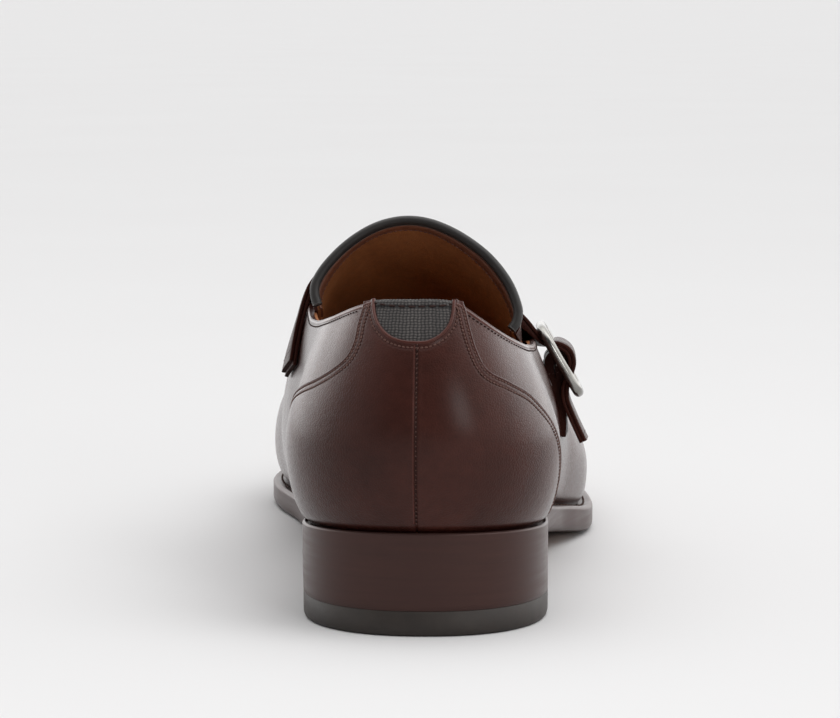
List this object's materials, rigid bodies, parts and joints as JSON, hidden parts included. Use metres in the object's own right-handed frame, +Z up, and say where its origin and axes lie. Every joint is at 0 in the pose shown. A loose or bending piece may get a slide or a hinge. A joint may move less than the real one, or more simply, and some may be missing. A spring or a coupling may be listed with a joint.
{
  "type": "monk strap shoe",
  "caption": "Right men's dress shoe in brown leather, closed over the instep by a wide strap with a side buckle, on a welted leather sole with a stacked heel.",
  "frame": {"origin": "centre of the heel on the floor, on the flat underside of the rubber top piece", "axes": "+Y towards the toe, +X towards the outer (lateral) side of the foot, +Z up from the floor"},
  "size_m": [0.1079, 0.3094, 0.1063],
  "materials": {
    "upper_leather": "dark reddish brown calf, waxed to a broad soft shine",
    "sole_edge": "stacked leather edge, dyed dark brown and burnished smooth",
    "sole_leather": "natural tan sole leather, dark at the dressed edge",
    "heel_rubber": "black rubber, dull",
    "lining": "smooth tan lining leather",
    "piping_satin": "charcoal satin over a cord, soft highlight",
    "buckle_metal": "nickel plate, finely brushed",
    "canvas": "grey and charcoal basket weave canvas",
    "thread": "waxed brown thread"
  },
  "bodies": {
    "root": {"top_piece": "heel_rubber", "heel_stack": "sole_edge", "outsole": "sole_leather", "welt": "sole_edge", "insole": "lining", "upper": "upper_leather", "tongue": "lining", "tongue_piping": "piping_satin", "strap": "upper_leather", "buckle_frame": "buckle_metal", "buckle_prong": "buckle_metal", "buckle_tab": "upper_leather"}
  },
  "joints": []
}
